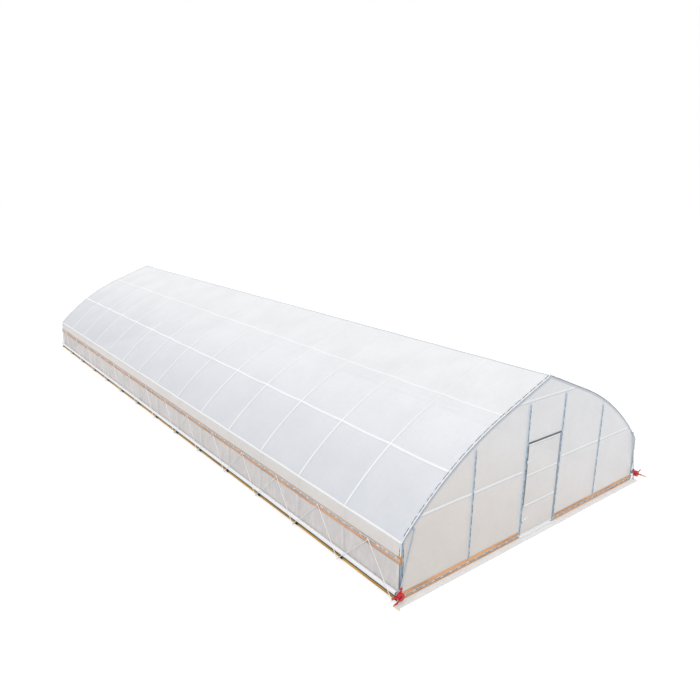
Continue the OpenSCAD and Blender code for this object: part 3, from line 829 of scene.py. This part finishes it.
class TUNNEL_OT_curtains(bpy.types.Operator):
    """Side curtains with upright puckers, each wound on its roll at the bottom"""

    bl_idname = "tunnel.curtains"
    bl_label = "Side curtains"

    def curtain(self, sizes, side, name):
        rng = random.Random(name)
        first, last = CURTAINS[0].y, CURTAINS[1].y
        foot, head = CURTAINS[0].z, HIP_CHANNELS[1].z - 0.002
        x = side * (CURTAINS[1].x - sizes.film)
        waves = [(rng.uniform(6, 30), rng.uniform(-12, 12), rng.uniform(0, 6.3)) for _ in range(6)]

        def place(z, y):
            share = (z - foot) / (head - foot)
            free = math.sin(math.pi * min(1.0, max(0.0, share / 0.9)))
            pucker = sum(math.sin(a * y + b * z + c) for a, b, c in waves) / 6
            return Vector((x + side * 0.005 * free * (0.5 + 0.9 * pucker), y, z))

        obj = sheet(spread(foot, head, 12), spread(first, last, sizes.bays * 40), place, sizes.film)
        finish_piece(obj, name, "curtain film")
        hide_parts("curtains")

    def roll(self, sizes, side, name):
        low, high = CURTAINS[0].y, CURTAINS[1].y
        axis_x = side * ROLL_X
        rng = random.Random(name)
        waves = [(rng.uniform(2, 12), rng.randint(1, 3), rng.uniform(0, 6.3)) for _ in range(5)]

        def place(turn, y):
            lump = sum(math.sin(a * y + b * turn + c) for a, b, c in waves) / 5
            r = ROLL_R - 0.0035 + 0.0022 * turn / (2 * math.pi) + 0.0013 * lump
            return Vector((axis_x - side * r * math.cos(turn), y, ROLL_Z + r * math.sin(turn)))

        wrap = sheet(spread(0, 2 * math.pi, 28), spread(low, high, sizes.bays * 16), place, 0.002, 1.0)
        finish_piece(wrap, name, "rolled film")
        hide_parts("curtain_rolls")
        bar = tube([[(axis_x, ROLLS[0].y, ROLL_Z), (axis_x, high + 0.004, ROLL_Z)]], 0.0135, 4)
        finish_piece(bar, name.replace("wrap", "bar"), "galvanised tube")

    def execute(self, context):
        sizes = context.scene.tunnel_sizes
        for side, word in SIDES:
            self.curtain(sizes, side, word + "_curtain_sheet")
            self.roll(sizes, side, word + "_roll_wrap")
        return {"FINISHED"}


# Ropes


class TUNNEL_OT_ropes(bpy.types.Operator):
    """Ropes over the curtains, a V in each bay, with knots at the hip and loops on the pegs"""

    bl_idname = "tunnel.ropes"
    bl_label = "Curtain ropes"

    def execute(self, context):
        sizes = context.scene.tunnel_sizes
        top_x, top_z = HIP_CHANNELS[1].x + 0.0003 + sizes.rope, mid_z(HIP_CHANNELS)
        foot_x, foot_z = PEGS[1].x + sizes.rope + 0.0003, mid_z(PEGS)
        for side, word in SIDES:
            path, tops = [], []
            for i, y in enumerate(hoops(sizes)):
                path += [Vector((side * foot_x, y + off, foot_z + rise))
                         for off, rise in ((-0.01, 0.012), (0.0, -0.006), (0.01, 0.012))]
                if i < sizes.bays:
                    crown = Vector((side * top_x, y + sizes.bay / 2, top_z))
                    tops.append(crown)
                    path += [crown + Vector((0, off, -abs(off))) for off in (-0.012, 0.0, 0.012)]
            rope = tube([path[1:-1]], sizes.rope, 2)
            finish_piece(rope, word + "_rope", "white rope")
            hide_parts("curtain_ropes")
            deselect()
            bpy.ops.mesh.primitive_torus_add(
                major_radius=0.0075, minor_radius=0.0032, major_segments=12, minor_segments=6)
            knot = bpy.context.object
            mode("EDIT")
            bpy.ops.mesh.select_all(action="SELECT")
            bpy.ops.transform.resize(value=(1.0, 1.35, 1.3))
            mode("OBJECT")
            turn = Matrix.Rotation(QUARTER, 4, "Y")
            lean = Matrix.Rotation(math.radians(35), 4, "X")
            places = [Matrix.Translation(top + Vector((side * out, 0, rise))) @ way
                      for out, rise, way in ((0.001, -0.004, lean @ turn), (0.002, 0.006, turn))
                      for top in tops]
            knots = repeat(knot, places, math.radians(80))
            finish_piece(knots, word + "_rope_knots", "white rope")
        return {"FINISHED"}


class TUNNEL_OT_rope_clips(bpy.types.Operator):
    """Black clips at the feet of the hoops, round the pegs that hold the ropes"""

    bl_idname = "tunnel.rope_clips"
    bl_label = "Rope clips"

    def execute(self, context):
        sizes = context.scene.tunnel_sizes
        face, height = BOARDS[1].x, mid_z(PEGS)
        clip = block((0.012, 0.046, 0.062))
        draw_out(clip, lambda normal: normal.x > 0.9, (0.016, 0, 0), (1.0, 0.8, 0.8), 0.009)
        round_edges(clip, 0.0022, 2)
        places = []
        for side in (-1, 1):
            flip = Matrix.Rotation(math.pi if side < 0 else 0.0, 4, "Z")
            x = side * (face + 0.0148)
            places += [Matrix.Translation((x, y, height)) @ flip for y in hoops(sizes)]
        clips = repeat(clip, places)
        finish_piece(clips, "rope_clips", "black plastic")
        return {"FINISHED"}


class TUNNEL_OT_dark_strips(bpy.types.Operator):
    """Dark strips along the side boards under the rolls and over the door, and painted shadow on the door's
    hinge side
    """

    bl_idname = "tunnel.seals"
    bl_label = "Dark strips"

    def strip(self, low, high, lip):
        """Bar between two corners, with its outer edge drawn in to a lip."""
        bar = block(high - low, (low + high) / 2)
        draw_out(bar, lambda normal: normal.dot(lip) > 0.9, lip * 0.004,
                 (1.0 if lip.x else 0.998, 1.0 if lip.y else 0.9998, 0.45))
        round_edges(bar, 0.0012, 2)
        tidy_mesh(bar)
        return bar

    def execute(self, context):
        face, top = BOARDS[1].x + 0.0004, 0.066
        for side, word in SIDES:
            near, far = sorted((side * face, side * (face + 0.004)))
            bar = self.strip(Vector((near, BOARDS[0].y + 0.02, top - 0.02)),
                             Vector((far, BOARDS[1].y - 0.02, top)), Vector((side, 0, 0)))
            finish_piece(bar, word + "_ground_seal", "black plastic")
        bar = self.strip(Vector((HEADER[0].x + 0.004, HEADER[0].y - 0.0115, HEADER[0].z + 0.004)),
                         Vector((HEADER[1].x - 0.004, HEADER[0].y - 0.0045, HEADER[0].z + 0.026)),
                         Vector((0, -1, 0)))
        finish_piece(bar, "door_head_seal", "door dark strip")
        # Painted shadow: a dark strip on the door's hinge side stands in for the shaded gap between the
        # door and its post.
        low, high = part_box("door_film")
        bar = self.strip(Vector((low.x + 0.001, low.y - 0.0035, door_rails()[1] - 0.02)),
                         Vector((low.x + 0.013, low.y - 0.0005, high.z - 0.01)), Vector((0, -1, 0)))
        finish_piece(bar, "door_side_shadow_strip", "door dark strip", "door")
        return {"FINISHED"}


# Lock wires


class TUNNEL_OT_lock_wires(bpy.types.Operator):
    """Zigzag spring wires that hold the film in the lock channels"""

    bl_idname = "tunnel.lock_wires"
    bl_label = "Lock wires"

    def zigzag(self, sizes, run, place):
        """Points of a wire along a channel: deep under the lips at the turns, proud between them."""
        waves = max(1, round(run / sizes.wire_pitch))
        pattern = ((0.0, 0.0, 0.0092), (0.19, 0.0082, 0.0052), (0.31, 0.0082, 0.0052),
                   (0.5, 0.0, 0.0092), (0.69, -0.0082, 0.0052), (0.81, -0.0082, 0.0052))
        return [place((i + t) * run / waves, lateral, depth)
                for i in range(waves) for t, lateral, depth in pattern]

    def straight(self, sizes, start, end, lateral, outward):
        start, end, lateral, outward = map(Vector, (start, end, lateral, outward))
        along = (end - start).normalized()
        trim = 0.01
        run = (end - start).length - 2 * trim
        return self.zigzag(
            sizes, run, lambda s, a, d: start + along * (s + trim) + lateral * a + outward * d)

    def hoop(self, sizes, y, side):
        bow = Bow(sizes, CHANNEL_SEAT)

        def place(s, lateral, depth):
            s += 0.03
            x, z = bow.at(s)
            slope = bow.slope(s)
            x -= depth * math.sin(slope)
            z += depth * math.cos(slope)
            return Vector((-side * x, y + lateral, z))

        arc = self.zigzag(sizes, bow.top + bow.arc - 0.05, place)
        foot = HIP_BOARDS[1].z
        edge = side * (sizes.half_span + CHANNEL_SEAT)
        strip = self.straight(sizes, (edge, y, foot), (edge, y, sizes.eave - 0.01),
                              (0, 1, 0), (side, 0, 0))
        return [arc, strip]

    def end(self, sizes, y, outward, door_x):
        bow = Bow(sizes, 0.0)
        paths = []
        for side in (-1, 1):
            for x, top in (
                (door_x, sizes.collar - sizes.channel_stop),
                (sizes.outer_post, bow.height(sizes.outer_post + 0.04) - sizes.channel_stop),
                (sizes.half_span, sizes.eave),
            ):
                paths.append(self.straight(sizes, (side * x, y, POST_WIRE_FOOT), (side * x, y, top),
                                           (1, 0, 0), (0, outward, 0)))
        return paths

    def execute(self, context):
        sizes = context.scene.tunnel_sizes
        wires = {}
        height = mid_z(HIP_CHANNELS)
        seat = HIP_CHANNELS[1].x - 0.010
        for side, word in SIDES:
            path = self.straight(sizes, (side * seat, HIP_CHANNELS[0].y, height),
                                 (side * seat, HIP_CHANNELS[1].y, height), (0, 0, 1), (side, 0, 0))
            wires[word + "_hip_wire"] = [path]
        front_y, back_y = FRONT_CHANNELS[1].y, BACK_CHANNELS[0].y
        front = wires["front_wall_wires"] = self.end(sizes, front_y, -1, DOOR_CHANNEL)
        for side in (-1, 1):
            front.append(self.straight(sizes, (side * sizes.half_span, front_y, BOARD_WIRE_Z),
                                       (side * BOARD_WIRE_END, front_y, BOARD_WIRE_Z),
                                       (0, 0, 1), (0, -1, 0)))
        rear = wires["back_wall_wires"] = self.end(sizes, back_y, 1, sizes.door_post)
        rear.append(self.straight(sizes, (-sizes.half_span, back_y, BOARD_WIRE_Z),
                                  (sizes.half_span, back_y, BOARD_WIRE_Z), (0, 0, 1), (0, 1, 0)))
        for y, word in ((sizes.front, "front"), (back(sizes), "back")):
            wires[word + "_hoop_wires"] = self.hoop(sizes, y, -1) + self.hoop(sizes, y, 1)
        for name, paths in wires.items():
            finish_piece(tube(paths, sizes.wire), name, "lock wire")
        return {"FINISHED"}


# Fittings


def bolt_model(across, height):
    """Hexagon head on a washer, standing up from the origin."""
    deselect()
    bpy.ops.mesh.primitive_cylinder_add(
        vertices=6, radius=across / 2 / math.cos(math.pi / 6), depth=height,
        location=(0, 0, height / 2))
    bolt = place_mesh(bpy.context.object)
    select_faces(bolt, lambda normal: normal.z > 0.9)
    bpy.ops.mesh.inset(thickness=across * 0.08)
    bpy.ops.transform.translate(value=(0, 0, height * 0.12))
    select_faces(bolt, lambda normal: normal.z < -0.9)
    bpy.ops.transform.resize(value=(1.35, 1.35, 1.0))
    mode("OBJECT")
    return bolt


class TUNNEL_OT_purlin_clamps(bpy.types.Operator):
    """Band clamps that tie each purlin to each hoop"""

    bl_idname = "tunnel.purlin_clamps"
    bl_label = "Purlin clamps"

    def execute(self, context):
        sizes = context.scene.tunnel_sizes
        deselect()
        bpy.ops.mesh.primitive_cylinder_add(
            vertices=14, radius=0.0172, depth=0.03, end_fill_type="NOTHING")
        band = bpy.context.object
        thicken(band, 0.0022, 1.0)
        turn = Matrix.Rotation(QUARTER, 4, "X")
        places = []
        for node in ("upper_purlins", "mid_purlins", "eave_purlins"):
            low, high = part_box(node)
            x, z = high.x - 0.016, (low.z + high.z) / 2
            places += [Matrix.Translation((side * x, y + off, z)) @ turn
                       for side in (-1, 1) for y in hoops(sizes)[1:-1] for off in (-0.038, 0.038)]
        low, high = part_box("ridge_purlin")
        places += [Matrix.Translation((0, y + off, (low.z + high.z) / 2)) @ turn
                   for y in hoops(sizes)[1:-1] for off in (-0.042, 0.042)]
        clamps = repeat(band, places)
        finish_piece(clamps, "purlin_clamps", "lock channel")
        return {"FINISHED"}


class TUNNEL_OT_bolts(bpy.types.Operator):
    """Bolts on the eave elbows, the ridge couplers and the door's hinge straps"""

    bl_idname = "tunnel.bolts"
    bl_label = "Bolts"

    def execute(self, context):
        sizes = context.scene.tunnel_sizes
        model = bolt_model(0.013, 0.006)
        outwards = Matrix.Rotation(QUARTER, 4, "X")
        bow = Bow(sizes, 0.0)
        spots = []
        for side in (-1, 1):
            spots.append((side * sizes.half_span, sizes.eave - BOLT_SETBACK, LEG_SOCKET))
            for along, lift in ((bow.top + bow.arc - BOLT_SETBACK, BOW_SOCKET), (BOLT_SETBACK, LEG_SOCKET)):
                x, z = bow.at(along)
                spots.append((-side * x, z, lift))
        places = []
        for y in hoops(sizes)[1:]:
            places += [Matrix.Translation((x, y - lift, z)) @ outwards for x, z, lift in spots]
        bolts = repeat(model, places)
        finish_piece(bolts, "hoop_bolts", "galvanised tube")
        model = bolt_model(0.013, 0.006)
        low = STRAPS[0]
        face = sizes.front - STRAP_FACE
        heights = (low.z + 0.015, STRAPS[1].z - 0.015)
        places = [Matrix.Translation((low.x + x, face, z)) @ outwards
                  for x in (0.07, 0.14) for z in heights]
        bolts = repeat(model, places)
        finish_piece(bolts, "strap_bolts", "galvanised tube", "door")
        return {"FINISHED"}


class TUNNEL_OT_winder_trim(bpy.types.Operator):
    """Rims and catch levers of the winder housings, and turned grips on the cranks"""

    bl_idname = "tunnel.winder_trim"
    bl_label = "Winder trim"

    def rim(self, x, y, z):
        deselect()
        bpy.ops.mesh.primitive_torus_add(
            location=(x, y, z), rotation=(QUARTER, 0, 0), major_radius=0.0545,
            minor_radius=0.004, major_segments=40, minor_segments=10)
        return place_mesh(bpy.context.object)

    def lever(self, side, x, y, z):
        arm = block((0.066, 0.016, 0.018), (x + side * 0.08, y, z + 0.008))
        draw_out(arm, lambda normal: normal.x * side > 0.9, (side * 0.044, 0, 0.018), (1.0, 1.2, 1.3))
        round_edges(arm, 0.004, 3)
        return arm

    def grip(self, word):
        low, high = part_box(word + "_grip")
        middle, run = (low + high) / 2, high.y - low.y
        deselect()
        bpy.ops.mesh.primitive_cylinder_add(
            vertices=24, radius=0.0128, depth=run, location=middle, rotation=(QUARTER, 0, 0))
        grip = place_mesh(bpy.context.object)
        for share in (0.14, 0.3, 0.5, 0.7, 0.86):
            activate(grip)
            mode("EDIT")
            bpy.ops.mesh.select_all(action="SELECT")
            bpy.ops.mesh.bisect(plane_co=(0, low.y + share * run, 0), plane_no=(0, 1, 0))
            mode("OBJECT")
        for vertex in grip.data.vertices:
            share = (vertex.co.y - low.y) / run
            swell = 0.0146 if 0.2 < share < 0.8 else 0.0138 if 0.05 < share < 0.95 else 0.0118
            out = Vector((vertex.co.x - middle.x, 0, vertex.co.z - middle.z)).normalized() * swell
            vertex.co = Vector((middle.x, vertex.co.y, middle.z)) + out
        round_edges(grip, 0.004, 3)
        tidy_mesh(grip)
        finish_piece(grip, word + "_turned_grip", "cream plastic",
                     word + "_winder_crank")
        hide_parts(word + "_grip")

    def execute(self, context):
        sizes = context.scene.tunnel_sizes
        front, rear = sizes.front - HOUSING_FRONT, sizes.front - HOUSING_BACK
        for side, word in SIDES:
            x = side * ROLL_X
            for name, y in (("front", front), ("back", rear)):
                obj = self.rim(x, y, ROLL_Z)
                tidy_mesh(obj, math.radians(80))
                finish_piece(obj, f"{word}_housing_{name}_rim", "red paint")
            obj = self.lever(side, x, (front + rear) / 2, ROLL_Z + 0.01)
            tidy_mesh(obj)
            finish_piece(obj, word + "_catch_lever", "red paint")
            self.grip(word)
        return {"FINISHED"}


# Stage


class TUNNEL_OT_stage(bpy.types.Operator):
    """Pale floor, soft light and the camera"""

    bl_idname = "tunnel.stage"
    bl_label = "Stage"

    def seen_directly(self, tree):
        path = add_node(tree, "LightPath")
        seen = path["Is Camera Ray"]
        for key in ("Is Glossy Ray", "Is Transmission Ray"):
            seen = add_node(tree, "Math", {0: seen, 1: path[key]}, operation="MAXIMUM")[0]
        return seen

    def floor(self):
        deselect()
        bpy.ops.mesh.primitive_plane_add(size=400.0, location=(0, 0, -0.001))
        floor = bpy.context.object
        floor.name = "floor"
        material = bpy.data.materials.new("pale floor")
        material.use_nodes = True
        tree = material.node_tree
        tree.nodes.clear()
        matt = add_node(tree, "BsdfDiffuse", {"Color": (0.62, 0.62, 0.62, 1.0)})
        dim = add_node(tree, "Math", {0: self.seen_directly(tree), 1: 0.55}, operation="MULTIPLY")
        glow = add_node(tree, "Emission", {"Strength": dim[0]})
        both = add_node(tree, "AddShader", {0: matt[0], 1: glow[0]})
        add_node(tree, "OutputMaterial", {"Surface": both[0]})
        floor.data.materials.append(material)

    def world(self):
        world = bpy.data.worlds.new("soft sky")
        bpy.context.scene.world = world
        world.use_nodes = True
        tree = world.node_tree
        sky = tree.nodes["Background"]
        sky.inputs["Color"].default_value = (1.0, 1.0, 1.0, 1.0)
        mix = add_node(tree, "MapRange", {
            "Value": self.seen_directly(tree), "To Min": 0.72, "To Max": 1.0})
        tree.links.new(mix["Result"], sky.inputs["Strength"])

    def execute(self, context):
        self.floor()
        self.world()
        sun = bpy.data.lights.new("soft sun", "SUN")
        sun.energy = 1.3
        sun.angle = math.radians(25)
        lamp = bpy.data.objects.new("soft sun", sun)
        lamp.rotation_euler = (math.radians(38), 0, math.radians(-40))
        context.scene.collection.objects.link(lamp)
        lens = bpy.data.cameras.new("camera")
        lens.lens, lens.sensor_width = 31.299, 36.0
        lens.clip_end = 500.0
        camera = bpy.data.objects.new("camera", lens)
        heading, tilt, roll = map(math.radians, (38.569, 14.301, 1.081))
        flat = math.cos(tilt)
        look = Vector((math.sin(heading) * flat, math.cos(heading) * flat, -math.sin(tilt)))
        right = Vector((math.cos(heading), -math.sin(heading), 0.0))
        up = right.cross(look)
        right, up = (math.cos(roll) * right + math.sin(roll) * up,
                     math.cos(roll) * up - math.sin(roll) * right)
        place = Matrix((right, up, -look)).transposed().to_4x4()
        place.translation = (-8.106, -13.590, 5.326)
        camera.matrix_world = place
        context.scene.collection.objects.link(camera)
        context.scene.camera = camera
        context.scene.view_settings.view_transform = "Standard"
        return {"FINISHED"}


OPERATORS = (
    TUNNEL_OT_stage, TUNNEL_OT_finishes, TUNNEL_OT_roof_sheet, TUNNEL_OT_end_sheets,
    TUNNEL_OT_door_sheet, TUNNEL_OT_skirt_sheet, TUNNEL_OT_curtains, TUNNEL_OT_ropes,
    TUNNEL_OT_rope_clips, TUNNEL_OT_dark_strips, TUNNEL_OT_lock_wires, TUNNEL_OT_purlin_clamps,
    TUNNEL_OT_bolts, TUNNEL_OT_winder_trim,
)


class TUNNEL_PT_panel(bpy.types.Panel):
    """Sidebar panel that lists the tunnel's pieces"""

    bl_idname = "TUNNEL_PT_panel"
    bl_label = "Tunnel greenhouse"
    bl_space_type = "VIEW_3D"
    bl_region_type = "UI"
    bl_category = "Tunnel"

    def draw(self, context):
        for group in (context.scene.tunnel_sizes, context.scene.tunnel_colours):
            for key in group.__annotations__:
                self.layout.prop(group, key)
        for operator in OPERATORS:
            self.layout.operator(operator.bl_idname)


CLASSES = (TunnelSizes, TunnelColours, *OPERATORS, TUNNEL_PT_panel)


def register():
    for item in CLASSES:
        bpy.utils.register_class(item)
    bpy.types.Scene.tunnel_sizes = PointerProperty(type=TunnelSizes)
    bpy.types.Scene.tunnel_colours = PointerProperty(type=TunnelColours)


def unregister():
    del bpy.types.Scene.tunnel_colours
    del bpy.types.Scene.tunnel_sizes
    for item in reversed(CLASSES):
        bpy.utils.unregister_class(item)


def main():
    register()
    for operator in OPERATORS:
        group, name = operator.bl_idname.split(".")
        getattr(getattr(bpy.ops, group), name)()
    deselect()


if __name__ == "__main__":
    main()
